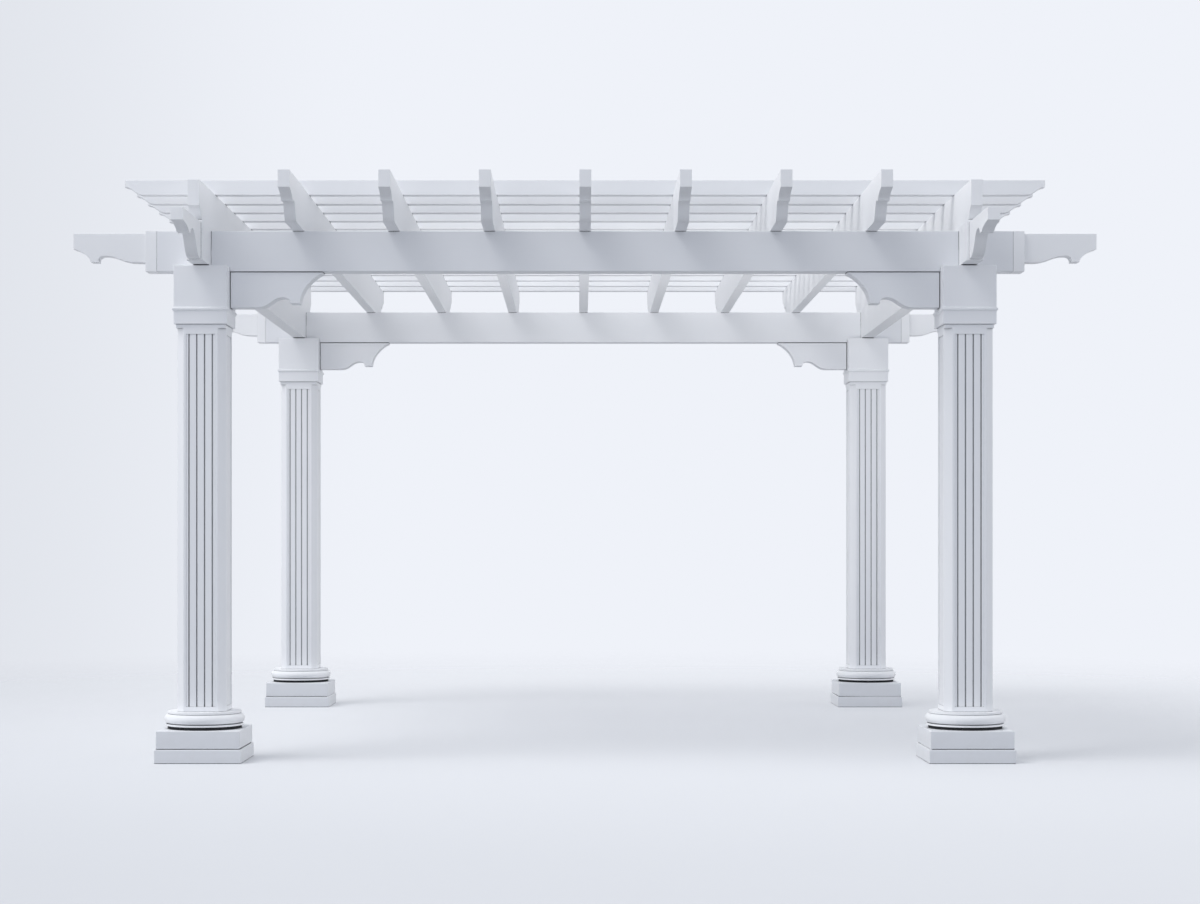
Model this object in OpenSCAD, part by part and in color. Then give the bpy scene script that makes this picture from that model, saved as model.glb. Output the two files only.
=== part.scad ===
// Classical garden pergola. Four panelled columns on round bases and square plinths carry
// two through beams and two side beams with scroll-cut tails, nine rafters and a layer of
// fifteen battens. Millimetres, +Z up, the front towards -Y, the origin on the ground at the
// centre of the smallest box around the whole structure.

/* [Plan] */
// Distance between column centres, left to right
bay_w = 3560; // [2600:20:5000]
// Distance between column centres, front to back
bay_d = 3500; // [2600:50:5000]
// Height of the columns, from the ground to the top of the capitals
column_h = 2300; // [1800:10:3000]

/* [Plinth] */
// Side of the lower step
foot_w = 400; // [360:1:500]
// Height of the lower step
foot_h = 64; // [30:1:150]
// How far the upper step is set in on each side
plinth_in = 7; // [2:1:12]
// Height of the upper step
plinth_h = 86; // [40:1:200]

/* [Round base] */
// How far the torus is set in from the plinth's sides
torus_in = 7; // [2:1:20]
// Height of the torus
torus_h = 47; // [30:1:60]
// How far the fillet under the torus is set in from the torus
fillet_in = 6; // [4:1:20]
// Height of the fillet
fillet_h = 9; // [5:1:30]
// How far the neck under the fillet is set in from the fillet
neck_in = 9; // [4:1:60]
// Height of the neck
neck_h = 14; // [4:1:20]
// How far the ring that carries the shaft is set in from the torus
ring_in = 16; // [8:1:24]
// Height of that ring
ring_h = 12; // [8:1:40]

/* [Shaft] */
// Width of the square shaft
shaft_w = 228; // [190:1:236]
// Width of the corner chamfers, measured along a face
chamfer_w = 35; // [10:1:45]
// Square height left above the chamfers
chamfer_stop = 18; // [5:1:60]
// Flat left between a chamfer and the sunk panel
stile_w = 11.5; // [4:0.5:20]
// Depth of the sunk panel
panel_sink = 3; // [1:1:8]
// Plain height under the panel
panel_low = 24; // [5:1:200]
// Plain height above the panel
panel_high = 46; // [5:1:200]
// Number of flutes on each panel
flute_count = 4; // [2:1:5]
// Distance from the panel's edge to the first flute
flute_edge = 10.5; // [2:0.5:20]
// Width of a flute
flute_w = 6; // [4:1:14]
// Depth of a flute below the panel
flute_sink = 7; // [2:1:15]

/* [Capital] */
// How far the band and the block stand out from the shaft
band_out = 10; // [4:1:30]
// Height of the band
band_h = 65; // [30:1:120]
// Height of the lip between band and block
lip_h = 10; // [6:1:20]
// How far the lip stands out
lip_out = 6; // [2:1:12]
// Height of the small cove on the lip
lip_cove = 8; // [3:1:15]
// Height of the block above the lip
block_h = 197; // [180:1:260]

/* [Beams] */
// Depth of all four beams, top to bottom
beam_h = 188; // [140:1:260]
// Thickness of the front and back beams
beam_t = 100; // [70:1:120]
// Thickness of the side beams
side_beam_t = 75; // [50:1:100]
// How deep the front and back beams are housed in the capitals
beam_housing = 20; // [5:1:40]
// Column centre to the end of the collar, on every beam
collar_reach = 268; // [220:1:400]
// Length of the collar that starts each tail
collar_l = 52; // [30:1:80]

/* [Front and back beam tails] */
// Length of the scroll beyond the collar
tail_l = 340; // [280:1:500]
// Straight part of its underside next to the collar
tail_flat = 46; // [5:1:80]
// Thickness of the scroll
tail_t = 62; // [40:1:70]
// Step down from the beam's top to the scroll's top
tail_top_step = 10; // [2:1:20]
// Step up from the beam's underside to the scroll's underside
tail_low_step = 44; // [2:1:50]
// Height of the end face
tail_nose = 72; // [40:1:80]
// Length of the hollow behind the end face
tail_cove = 80; // [40:1:90]
// Length of the flat toe
tail_toe = 36; // [15:1:45]
// Length of the notch behind the toe
tail_notch = 30; // [10:1:35]
// Height of the toe above the scroll's underside
tail_toe_z = 2; // [0:1:10]
// Height of the arch above the scroll's underside
tail_arch_z = 31; // [15:1:40]

/* [Side beam tails] */
// Length of the scroll beyond the collar
side_tail_l = 438; // [360:1:600]
// Straight part of its underside next to the collar
side_tail_flat = 28; // [5:1:60]
// Thickness of the scroll
side_tail_t = 56; // [35:1:60]
// Height of the end face
side_tail_nose = 56; // [30:1:70]
// Step up from the beam's underside to the scroll's underside
side_tail_low_step = 10; // [2:1:20]
// Length of the hollow behind the end face
side_tail_cove = 140; // [80:1:150]
// Length of the flat toe
side_tail_toe = 50; // [20:1:55]
// Height of the toe above the scroll's underside
side_tail_toe_z = 80; // [40:1:85]
// Length of the notch behind the toe
side_tail_notch = 50; // [20:1:55]
// Height of the arch above the scroll's underside
side_tail_arch_z = 108; // [88:1:110]

/* [Brackets] */
// Length of a bracket along the beam
bracket_l = 434; // [360:1:500]
// Straight part of its underside next to the capital
bracket_flat = 128; // [20:1:160]
// Gap between a bracket's underside and the capital's lip
bracket_gap = 1; // [1:1:30]
// Thickness of a bracket
bracket_t = 88; // [50:1:100]
// Height of the blunt tip
bracket_nose = 5; // [3:1:20]
// Length of the hollow at the tip
bracket_cove = 108; // [60:1:120]
// Length of the flat toe
bracket_toe = 46; // [20:1:55]
// Height of the toe above the bracket's underside
bracket_toe_z = 20; // [8:1:24]
// Length of the notch behind the toe
bracket_notch = 35; // [15:1:40]
// Height of the arch above the bracket's underside
bracket_arch_z = 47; // [30:1:55]

/* [Rafters] */
// Depth of a rafter over the front and back beams
rafter_h = 199; // [160:1:260]
// Thickness of a rafter
rafter_t = 53; // [40:1:70]
// Number of rafters between the two over the side beams
rafter_count = 7; // [2:1:9]
// Column centre to the tip of a rafter
rafter_reach = 560; // [480:1:700]
// Height of the end face
rafter_nose = 78; // [40:1:80]
// Length of the hollow behind the end face
rafter_cove = 105; // [50:1:110]
// Length of the flat toe
rafter_toe = 30; // [15:1:40]
// Height of the toe above the rafter's underside
rafter_toe_z = 77; // [40:1:78]
// Length of the notch behind the toe
rafter_notch = 18; // [10:1:25]
// Height of the arch above the rafter's underside
rafter_arch_z = 86; // [78:1:100]
// Length of the sweep down from the arch
rafter_sweep = 100; // [60:1:120]
// Column centre to the end of a side rafter
side_rafter_reach = 300; // [180:1:320]
// Height of a side rafter's end face
side_rafter_nose = 118; // [80:1:130]
// Length of the hollow under a side rafter's end
side_rafter_sweep = 90; // [40:1:120]

/* [Battens] */
// Number of battens, a multiple of three
batten_count = 15; // [3:3:15]
// Height of a batten
batten_h = 72; // [40:1:100]
// Thickness of a batten
batten_t = 50; // [30:1:70]
// Column centre to the end of a batten
batten_reach = 405; // [250:1:600]
// Front column centre back to the first batten's centre
first_batten = 167; // [60:1:300]
// Last batten's back face in from the rafters' back tips
last_batten = 4; // [2:1:150]
// Height of a batten's end face
batten_nose = 35; // [15:1:36]
// Length of the sweep at a batten's end
batten_sweep = 90; // [40:1:150]

/* [Hidden] */
// Smallest overlap that keeps a cut clean
cut = 1;
// Straight pieces in each scroll curve
curve_steps = 8;
// Sides of the round bases
round_sides = 96;
battens_per_node = 3;

// Heights, from the ground up
base_z = foot_h + plinth_h;
shaft_z = base_z + neck_h + fillet_h + torus_h + ring_h;
capital_z = column_h - band_h - lip_h - block_h;
shaft_h = capital_z - shaft_z;
beam_z = column_h - beam_housing;
beam_top = beam_z + beam_h;
side_beam_top = column_h + beam_h;
lap_z = (column_h + beam_top) / 2;
rafter_top = beam_top + rafter_h;
side_rafter_h = rafter_top - side_beam_top;

// Widths of a column, from the ground up
plinth_w = foot_w - 2 * plinth_in;
torus_d = plinth_w - 2 * torus_in;
fillet_d = torus_d - 2 * fillet_in;
neck_d = fillet_d - 2 * neck_in;
ring_d = torus_d - 2 * ring_in;
panel_w = shaft_w - 2 * chamfer_w - 2 * stile_w;
flute_pitch = (panel_w - 2 * flute_edge - flute_w) / (flute_count - 1);
capital_w = shaft_w + 2 * band_out;

// Lines in plan
col_x = bay_w / 2;
col_y = bay_d / 2;
beam_len = bay_w + 2 * (collar_reach - collar_l);
side_beam_len = bay_d + 2 * (collar_reach - collar_l);
rafter_pitch = bay_w / (rafter_count + 1);
batten_len = bay_w + 2 * batten_reach;
batten_run = bay_d + rafter_reach - last_batten - batten_t / 2 - first_batten;
batten_pitch = batten_run / (batten_count - 1);
batten_nodes = batten_count / battens_per_node;

// Heights of the scrolls, and the lengths left for the sweeps down from their arches
tail_h = beam_h - tail_top_step - tail_low_step;
tail_sweep = tail_l - tail_cove - tail_toe - tail_notch - tail_flat;
side_tail_h = beam_h - tail_top_step - side_tail_low_step;
side_tail_sweep = side_tail_l - side_tail_cove - side_tail_toe - side_tail_notch - side_tail_flat;
bracket_h = block_h - lip_cove - beam_housing - bracket_gap;
bracket_sweep = bracket_l - bracket_cove - bracket_toe - bracket_notch - bracket_flat;

COLUMNS = ["front_left", "front_right", "back_left", "back_right"];

// Points of a cubic curve after its first point, up to and including its last
function curve(a, b, c, d) = [
    for (i = [1 : curve_steps])
        let (t = i / curve_steps, s = 1 - t)
            s * s * s * a + 3 * s * s * t * b + 3 * s * t * t * c + t * t * t * d
];

// The hollow behind an end face, steepening from the nose to the toe
function cove(from, to) =
    let (run = to[0] - from[0], fall = from[1] - to[1])
        curve(from, from + [0.5 * run, -0.2 * fall], to + [-0.04 * run, 0.45 * fall], to);

// The quick rise behind the toe, round at the top
function notch(from, to) =
    let (run = to[0] - from[0], rise = to[1] - from[1])
        curve(from, from + [-0.12 * run, 0.7 * rise], to + [-0.6 * run, 0], to);

// The long reversed curve down from the arch to the underside
function sweep(from, to) =
    let (run = to[0] - from[0])
        curve(from, from + [0.4 * run, 0], to + [-0.5 * run, 0], to);

// A scroll-cut end seen from the side: from the top of the tip at x = 0, down the end face
// and back along the underside to where the scroll meets it at z = 0
function scroll(h, nose, cove_l, toe_l, toe_z, notch_l, arch_z, sweep_l) =
    let (
        tip = [0, h - nose],
        toe = [cove_l, toe_z],
        heel = [cove_l + toe_l, toe_z],
        arch = [cove_l + toe_l + notch_l, arch_z],
        root = [cove_l + toe_l + notch_l + sweep_l, 0]
    )
    concat([[0, h], tip], cove(tip, toe), [heel], notch(heel, arch), sweep(arch, root));

function tail_scroll() =
    scroll(tail_h, tail_nose, tail_cove, tail_toe, tail_toe_z, tail_notch, tail_arch_z, tail_sweep);

function side_tail_scroll() =
    scroll(side_tail_h, side_tail_nose, side_tail_cove, side_tail_toe, side_tail_toe_z,
        side_tail_notch, side_tail_arch_z, side_tail_sweep);

function bracket_scroll() =
    scroll(bracket_h, bracket_nose, bracket_cove, bracket_toe, bracket_toe_z,
        bracket_notch, bracket_arch_z, bracket_sweep);

function rafter_scroll() =
    scroll(rafter_h, rafter_nose, rafter_cove, rafter_toe, rafter_toe_z,
        rafter_notch, rafter_arch_z, rafter_sweep);

// The plain hollowed end of a side rafter
function side_rafter_end() =
    let (tip = [0, side_rafter_h - side_rafter_nose])
        concat([[0, side_rafter_h], tip], sweep(tip, [side_rafter_sweep, 0]));

// The swept end of a batten
function batten_end() =
    let (tip = [0, batten_h - batten_nose])
        concat([[0, batten_h], tip], sweep(tip, [batten_sweep, 0]));

// A bar's outline with the same end cut at both sides, centred on x = 0
function bar_outline(len, end) = concat(
    [for (p = end) [p[0] - len / 2, p[1]]],
    [for (i = [len(end) - 1 : -1 : 0]) [len / 2 - end[i][0], end[i][1]]]
);

// An outline drawn in x and z, made into a board across Y
module board_across_y(outline, t) {
    rotate([90, 0, 0]) linear_extrude(t, center = true) polygon(outline);
}

// An outline drawn in y and z, made into a board across X
module board_across_x(outline, t) {
    rotate([90, 0, 90]) linear_extrude(t, center = true) polygon(outline);
}

module block(w, d, h) {
    translate([-w / 2, -d / 2, 0]) cube([w, d, h]);
}

// Puts its child at one column, the child being drawn for a column at the front left
module at_column(name) {
    sx = (name == "front_left" || name == "back_left") ? 1 : -1;
    sy = (name == "front_left" || name == "front_right") ? 1 : -1;
    translate([-sx * col_x, -sy * col_y, 0]) scale([sx, sy, 1]) children();
}

module plinth() {
    color("gainsboro") {
        block(foot_w, foot_w, foot_h);
        translate([0, 0, foot_h]) block(plinth_w, plinth_w, plinth_h);
    }
}

module base() {
    torus_z = neck_h + fillet_h;
    ring_z = torus_z + torus_h;
    torus_r = torus_h / 2;
    color("gainsboro") translate([0, 0, base_z]) {
        cylinder(h = neck_h, d = neck_d, $fn = round_sides);
        translate([0, 0, neck_h]) cylinder(h = fillet_h, d = fillet_d, $fn = round_sides);
        translate([0, 0, torus_z]) rotate_extrude($fn = round_sides) {
            square([torus_d / 2 - torus_r, torus_h]);
            translate([torus_d / 2 - torus_r, torus_r]) intersection() {
                circle(r = torus_r, $fn = 32);
                translate([0, -torus_r]) square([torus_r, torus_h]);
            }
        }
        translate([0, 0, ring_z]) cylinder(h = ring_h, d = ring_d, $fn = round_sides);
    }
}

// What is cut out of the shaft's face towards -Y
module panel_cut() {
    panel_h = shaft_h - panel_low - panel_high;
    face = -shaft_w / 2;
    translate([-panel_w / 2, face - cut, panel_low]) cube([panel_w, cut + panel_sink, panel_h]);
    for (i = [0 : flute_count - 1]) {
        x = (i - (flute_count - 1) / 2) * flute_pitch;
        translate([x - flute_w / 2, face - cut, panel_low])
            cube([flute_w, cut + panel_sink + flute_sink, panel_h]);
    }
}

module shaft() {
    corner = shaft_w / 2;
    color("whitesmoke") translate([0, 0, shaft_z]) difference() {
        block(shaft_w, shaft_w, shaft_h);
        for (side = [0 : 3]) rotate(90 * side) {
            panel_cut();
            translate([0, 0, -cut]) linear_extrude(shaft_h - chamfer_stop + cut) polygon([
                [corner - chamfer_w, corner + cut],
                [corner - chamfer_w, corner],
                [corner, corner - chamfer_w],
                [corner + cut, corner - chamfer_w],
                [corner + cut, corner + cut]
            ]);
        }
    }
}

// Half of the capital's section: band, lip with a hollow on top, then the plain block
function capital_section() =
    let (
        face = capital_w / 2,
        lip = face + lip_out,
        lip_top = band_h + lip_h,
        top = lip_top + block_h
    )
    concat(
        [[0, 0], [face, 0], [face, band_h - lip_out], [lip, band_h], [lip, lip_top]],
        curve([lip, lip_top], [lip - lip_out, lip_top], [face, lip_top + lip_cove / 2],
            [face, lip_top + lip_cove]),
        [[face, top], [0, top]]
    );

module capital_bar() {
    length = capital_w + 2 * (lip_out + cut);
    half = capital_section();
    board_across_y(concat(half, [for (i = [len(half) - 1 : -1 : 0]) [-half[i][0], half[i][1]]]),
        length);
}

module capital() {
    color("whitesmoke") translate([0, 0, capital_z]) difference() {
        intersection() {
            capital_bar();
            rotate(90) capital_bar();
        }
        translate([0, 0, column_h - capital_z - beam_housing])
            block(capital_w + 2 * cut, beam_t, beam_housing + cut);
    }
}

// Bracket on the inner side of a front left column, its tip towards +X
module bracket() {
    wall = capital_w / 2;
    outline = concat(bracket_scroll(), [[bracket_l, 0], [bracket_l, bracket_h]]);
    color("lightgray") translate([wall + bracket_l, 0, beam_z - bracket_h])
        mirror([1, 0, 0]) board_across_y(outline, bracket_t);
}

// A front or back beam between its collars, halved on top where the side beams cross
module through_beam() {
    color("whitesmoke") difference() {
        translate([0, 0, beam_z]) block(beam_len, beam_t, beam_h);
        for (sx = [-1, 1]) translate([sx * col_x, 0, lap_z])
            block(side_beam_t, beam_t + 2 * cut, beam_top - lap_z + cut);
    }
}

// A side beam between its collars, halved below where the through beams cross
module side_beam() {
    color("whitesmoke") difference() {
        translate([0, 0, column_h]) block(side_beam_t, side_beam_len, beam_h);
        for (sy = [-1, 1]) translate([0, sy * col_y, column_h - cut])
            block(side_beam_t + 2 * cut, beam_t, lap_z - column_h + cut);
    }
}

// Collar and scroll at both ends of a front or back beam
module beam_tails() {
    outline = concat(tail_scroll(), [[tail_l, 0], [tail_l, tail_h]]);
    tip = col_x + collar_reach + tail_l;
    for (m = [0, 1]) mirror([m, 0, 0]) color("whitesmoke") {
        translate([-col_x - collar_reach + collar_l / 2, 0, beam_z])
            block(collar_l, beam_t, beam_h);
        translate([-tip, 0, beam_z + tail_low_step]) board_across_y(outline, tail_t);
    }
}

// Collar and scroll at both ends of a side beam
module side_beam_tails() {
    outline = concat(side_tail_scroll(), [[side_tail_l, 0], [side_tail_l, side_tail_h]]);
    tip = col_y + collar_reach + side_tail_l;
    for (m = [0, 1]) mirror([0, m, 0]) color("whitesmoke") {
        translate([0, -col_y - collar_reach + collar_l / 2, column_h])
            block(side_beam_t, collar_l, beam_h);
        translate([0, -tip, column_h + side_tail_low_step])
            board_across_x(outline, side_tail_t);
    }
}

// Rafter number i, counted from the left
module rafter(i) {
    x = (i - (rafter_count + 1) / 2) * rafter_pitch;
    color("white") translate([x, 0, beam_top])
        board_across_x(bar_outline(bay_d + 2 * rafter_reach, rafter_scroll()), rafter_t);
}

module side_rafter() {
    color("white") translate([0, 0, side_beam_top])
        board_across_x(bar_outline(bay_d + 2 * side_rafter_reach, side_rafter_end()), rafter_t);
}

// Batten number i, counted from the front
module batten(i) {
    y = -col_y + first_batten + (i - 1) * batten_pitch;
    translate([0, y, rafter_top]) board_across_y(bar_outline(batten_len, batten_end()), batten_t);
}

// Neighbouring battens that share a node
module battens(group) {
    color("white") for (i = [1 : battens_per_node]) batten((group - 1) * battens_per_node + i);
}

for (c = COLUMNS) {
    at_column(c) plinth();
    at_column(c) base();
    at_column(c) shaft();
    at_column(c) capital();
    at_column(c) bracket();
}
translate([0, -col_y, 0]) through_beam();  // front_beam
translate([0, col_y, 0]) through_beam();  // back_beam
translate([-col_x, 0, 0]) side_beam();  // left_beam
translate([col_x, 0, 0]) side_beam();  // right_beam
translate([0, -col_y, 0]) beam_tails();  // front_beam_tails
translate([0, col_y, 0]) beam_tails();  // back_beam_tails
translate([-col_x, 0, 0]) side_beam_tails();  // left_beam_tails
translate([col_x, 0, 0]) side_beam_tails();  // right_beam_tails
translate([-col_x, 0, 0]) side_rafter();  // left_rafter
translate([col_x, 0, 0]) side_rafter();  // right_rafter
for (i = [1 : rafter_count]) rafter(i);
for (i = [1 : batten_nodes]) battens(i);
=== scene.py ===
"""White garden pergola: paint, eased edges, joints, screws, studio and camera.

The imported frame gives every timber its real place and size. Each timber is copied, made whole,
eased along its edges and painted. The rafters, the battens and the screws that hold them are
rows laid by Geometry Nodes. All lengths are in metres.
"""

import logging
import math
from dataclasses import dataclass
from enum import Enum, IntEnum

import bmesh
import bpy
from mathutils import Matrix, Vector


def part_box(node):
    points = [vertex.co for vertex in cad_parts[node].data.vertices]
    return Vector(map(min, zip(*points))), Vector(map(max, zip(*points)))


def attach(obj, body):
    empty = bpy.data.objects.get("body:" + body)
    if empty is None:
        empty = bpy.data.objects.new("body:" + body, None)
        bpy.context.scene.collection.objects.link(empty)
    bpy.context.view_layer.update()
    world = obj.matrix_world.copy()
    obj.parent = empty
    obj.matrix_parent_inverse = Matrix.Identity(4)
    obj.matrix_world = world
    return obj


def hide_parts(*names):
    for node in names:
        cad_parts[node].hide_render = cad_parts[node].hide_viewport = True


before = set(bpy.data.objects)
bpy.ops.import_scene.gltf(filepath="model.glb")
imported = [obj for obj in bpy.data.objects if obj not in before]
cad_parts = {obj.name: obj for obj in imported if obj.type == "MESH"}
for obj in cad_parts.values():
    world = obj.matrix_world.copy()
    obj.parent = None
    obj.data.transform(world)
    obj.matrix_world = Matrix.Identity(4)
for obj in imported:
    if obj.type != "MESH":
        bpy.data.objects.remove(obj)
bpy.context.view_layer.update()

log = logging.getLogger("pergola")

Colour = tuple[float, float, float]
Point = tuple[float, float, float]
Range = tuple[float, float]
Paint = tuple[bpy.types.Material, ...]
Socket = bpy.types.NodeSocket

BODY = "root"
MERGE_DISTANCE = 1e-5
SAME_PLACE = 1e-4
DECIMALS = 4
FLAT_ANGLE = math.radians(0.5)
EDGE_ANGLE = math.radians(30)
CREASE_ANGLE = math.radians(50)
ROUND_PROFILE = 0.5
ROUND_SEGMENTS = 2
CREASE_SAMPLES = 6
TONE = "board_tone"
ARRIS = "arris"
RISING = (0.0, 1.0)
FALLING = (1.0, 0.0)


class Corner(Enum):
    """The four columns, named as their CAD nodes are."""

    FRONT_LEFT = "front_left"
    FRONT_RIGHT = "front_right"
    BACK_LEFT = "back_left"
    BACK_RIGHT = "back_right"


class Slot(Enum):
    """The names of the record's material slots."""

    BASE = "painted_base"
    COLUMN = "painted_column"
    BEAM = "painted_beam"
    RAFTER = "painted_rafter"
    BATTEN = "painted_batten"


class Axis(IntEnum):
    """X to the right, Y to the back and Z up."""

    X = 0
    Y = 1
    Z = 2


class Coat(IntEnum):
    """Which of a timber's materials a face takes."""

    FACE = 0
    ARRIS = 1
    NECK_SHADE = 2


class Grain(Enum):
    """Which way the wood's grain runs, as how fast its pattern changes along X, Y and Z."""

    ALONG_X = (0.05, 1.0, 1.0)
    ALONG_Y = (1.0, 0.05, 1.0)
    UPRIGHT = (1.0, 1.0, 0.05)
    TURNED = (0.08, 0.08, 1.0)


@dataclass(frozen=True)
class Band:
    """How a value turns into another: smoothly, and held at both ends.

    Attributes:
        source: The range that the value is read over.
        target: What it becomes at the two ends.
    """

    source: Range
    target: Range = RISING


@dataclass(frozen=True)
class Pattern:
    """A noise.

    Attributes:
        lumps: Lumps to the metre.
        detail: Finer layers in it.
    """

    lumps: float
    detail: float


@dataclass(frozen=True)
class Relief:
    """How far a pattern stands out of a surface.

    Attributes:
        strength: How much of it shows.
        depth: Its full height.
    """

    strength: float
    depth: float


@dataclass(frozen=True)
class Crease:
    """Painted shade, with dirt, that darkens corners by how closed in they are.

    Attributes:
        reach: How far from a corner it lies.
        cover: How much of it there is, from a closed corner to an open surface.
    """

    reach: float
    cover: Band


class Graph:
    """Adds nodes to a node tree and links them."""

    def __init__(self, tree: bpy.types.NodeTree) -> None:
        """Starts on an empty tree.

        Args:
            tree: The tree to fill. Nodes already in it are removed.
        """
        self.tree = tree
        tree.nodes.clear()

    def feed(self, socket: Socket, value: object) -> None:
        """Links a socket to an input, or sets the input's value.

        Args:
            socket: The input.
            value: A socket to link, or a plain value.
        """
        if isinstance(value, bpy.types.NodeSocket):
            self.tree.links.new(value, socket)
        else:
            socket.default_value = value

    def add(self, kind: str, inputs: dict[str, object] | None = None, **settings: object) -> bpy.types.Node:
        """Adds one node.

        Args:
            kind: Blender's name for the type of node.
            inputs: A value, or a socket to link, for each input's name.
            settings: The node's own properties.

        Returns:
            The new node.
        """
        node = self.tree.nodes.new(kind)
        for name, value in settings.items():
            setattr(node, name, value)
        for name, value in (inputs or {}).items():
            self.feed(next(s for s in node.inputs if s.name == name and s.enabled), value)
        return node

    def value(self, kind: str, inputs: dict[str, object] | None = None, **settings: object) -> Socket:
        """Adds one node and returns its first output in use.

        Args:
            kind: Blender's name for the type of node.
            inputs: A value, or a socket to link, for each input's name.
            settings: The node's own properties.

        Returns:
            The output socket.
        """
        node = self.add(kind, inputs, **settings)
        return next(s for s in node.outputs if s.enabled)

    def mix(self, factor: object, low: object, high: object) -> Socket:
        """Mixes two colours, from low where the factor is 0 to high where it is 1."""
        return self.value("ShaderNodeMix", {"Factor": factor, "A": low, "B": high}, data_type="RGBA")

    def mix_shaders(self, factor: object, low: Socket, high: Socket) -> Socket:
        """Mixes two shaders.

        Args:
            factor: How much of the second there is.
            low: The first.
            high: The second.

        Returns:
            The mixed shader's socket.
        """
        node = self.add("ShaderNodeMixShader", {"Fac": factor})
        self.feed(node.inputs[1], low)
        self.feed(node.inputs[2], high)
        return node.outputs[0]

    def spread(self, value: object, band: Band) -> Socket:
        """Maps a value from one range to another.

        Args:
            value: The socket to read.
            band: The two ranges.

        Returns:
            The mapped value's socket.
        """
        ends = {
            "From Min": band.source[0],
            "From Max": band.source[1],
            "To Min": band.target[0],
            "To Max": band.target[1],
        }
        return self.value("ShaderNodeMapRange", {"Value": value} | ends, interpolation_type="SMOOTHSTEP")

    def distance(self, place: Socket, point: Point) -> Socket:
        """How far a place is from a fixed point.

        Args:
            place: The place's socket.
            point: The fixed point.

        Returns:
            The distance's socket.
        """
        node = self.add("ShaderNodeVectorMath", operation="DISTANCE")
        self.feed(node.inputs[0], place)
        self.feed(node.inputs[1], point)
        return node.outputs["Value"]

    def math(self, operation: str, first: object, second: object) -> Socket:
        """Adds a sum, product or other operation on two numbers.

        Args:
            operation: Blender's name for it.
            first: The first number or socket.
            second: The second.

        Returns:
            The result's socket.
        """
        node = self.add("ShaderNodeMath", operation=operation)
        self.feed(node.inputs[0], first)
        self.feed(node.inputs[1], second)
        return node.outputs[0]

    def seen(self) -> Socket:
        """1 for what the camera sees directly, mirrored or through glass, and 0 for light.

        Returns:
            The value's socket.
        """
        path = self.add("ShaderNodeLightPath").outputs
        direct = self.math("MAXIMUM", path["Is Camera Ray"], path["Is Glossy Ray"])
        return self.math("MAXIMUM", direct, path["Is Transmission Ray"])


class Surface(Graph):
    """The node tree of a new material, and the object's coordinates in it."""

    def __init__(self, name: str) -> None:
        """Starts an empty material.

        Args:
            name: The material's name.
        """
        self.material = bpy.data.materials.new(name)
        self.material.use_nodes = True
        super().__init__(self.material.node_tree)
        self.place = self.add("ShaderNodeTexCoord").outputs["Object"]

    def noise(self, place: Socket, pattern: Pattern) -> Socket:
        """A noise's value at a place."""
        inputs = {"Vector": place, "Scale": pattern.lumps, "Detail": pattern.detail}
        return self.value("ShaderNodeTexNoise", inputs)

    def bump(self, height: Socket, relief: Relief) -> Socket:
        """The normal of a surface that a pattern stands out of."""
        inputs = {"Height": height, "Strength": relief.strength, "Distance": relief.depth}
        return self.value("ShaderNodeBump", inputs)

    def close(self, shader: Socket) -> bpy.types.Material:
        """Sends the last shader to the material's output."""
        self.add("ShaderNodeOutputMaterial", {"Surface": shader})
        return self.material

    def principled(self, inputs: dict[str, object]) -> Socket:
        """Adds the main shader with its inputs."""
        return self.add("ShaderNodeBsdfPrincipled", inputs).outputs[0]


def rgba(colour: Colour) -> tuple[float, float, float, float]:
    """A colour with full cover."""
    return (*colour, 1.0)


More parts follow.
